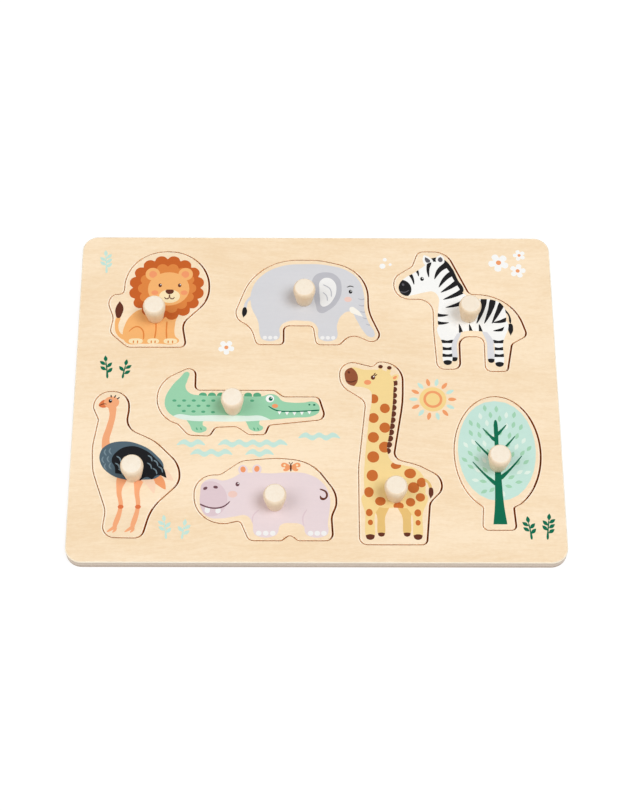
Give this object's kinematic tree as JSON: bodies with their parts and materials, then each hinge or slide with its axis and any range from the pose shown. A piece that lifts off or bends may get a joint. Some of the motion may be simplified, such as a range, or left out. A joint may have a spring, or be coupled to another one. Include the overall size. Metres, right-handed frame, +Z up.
{
  "type": "peg puzzle",
  "caption": "Flat wooden peg puzzle: a plywood board with shaped cut-outs that hold loose animal and tree figures, each lifted straight out by a turned wooden peg.",
  "frame": {"origin": "centre of the board's underside", "axes": "+X to the right along the long side, +Y towards the back, +Z up out of the printed face"},
  "size_m": [0.3, 0.225, 0.024],
  "materials": {
    "frame_plywood": "satin clear lacquer over pale plywood",
    "backing_plywood": "bare pale plywood",
    "peg_wood": "smooth turned wood",
    "lion_print": "matt print on pale plywood, scorched cut edges",
    "elephant_print": "matt print on pale plywood, scorched cut edges",
    "zebra_print": "matt print on pale plywood, scorched cut edges",
    "crocodile_print": "matt print on pale plywood, scorched cut edges",
    "ostrich_print": "matt print on pale plywood, scorched cut edges",
    "hippo_print": "matt print on pale plywood, scorched cut edges",
    "giraffe_print": "matt print on pale plywood, scorched cut edges",
    "tree_print": "matt print on pale plywood, scorched cut edges"
  },
  "bodies": {
    "board": {"frame": "frame_plywood", "backing_board": "backing_plywood"},
    "lion": {"lion_piece": "lion_print", "lion_peg": "peg_wood"},
    "elephant": {"elephant_piece": "elephant_print", "elephant_peg": "peg_wood"},
    "zebra": {"zebra_piece": "zebra_print", "zebra_peg": "peg_wood"},
    "crocodile": {"crocodile_piece": "crocodile_print", "crocodile_peg": "peg_wood"},
    "ostrich": {"ostrich_piece": "ostrich_print", "ostrich_peg": "peg_wood"},
    "hippo": {"hippo_piece": "hippo_print", "hippo_peg": "peg_wood"},
    "giraffe": {"giraffe_piece": "giraffe_print", "giraffe_peg": "peg_wood"},
    "tree": {"tree_piece": "tree_print", "tree_peg": "peg_wood"}
  },
  "joints": [
    {"name": "lion_lift", "type": "slide", "parent": "board", "child": "lion", "axis": [0, 0, 1], "range_m": [0, 0.03]},
    {"name": "elephant_lift", "type": "slide", "parent": "board", "child": "elephant", "axis": [0, 0, 1], "range_m": [0, 0.03]},
    {"name": "zebra_lift", "type": "slide", "parent": "board", "child": "zebra", "axis": [0, 0, 1], "range_m": [0, 0.03]},
    {"name": "crocodile_lift", "type": "slide", "parent": "board", "child": "crocodile", "axis": [0, 0, 1], "range_m": [0, 0.03]},
    {"name": "ostrich_lift", "type": "slide", "parent": "board", "child": "ostrich", "axis": [0, 0, 1], "range_m": [0, 0.03]},
    {"name": "hippo_lift", "type": "slide", "parent": "board", "child": "hippo", "axis": [0, 0, 1], "range_m": [0, 0.03]},
    {"name": "giraffe_lift", "type": "slide", "parent": "board", "child": "giraffe", "axis": [0, 0, 1], "range_m": [0, 0.03]},
    {"name": "tree_lift", "type": "slide", "parent": "board", "child": "tree", "axis": [0, 0, 1], "range_m": [0, 0.03]}
  ]
}
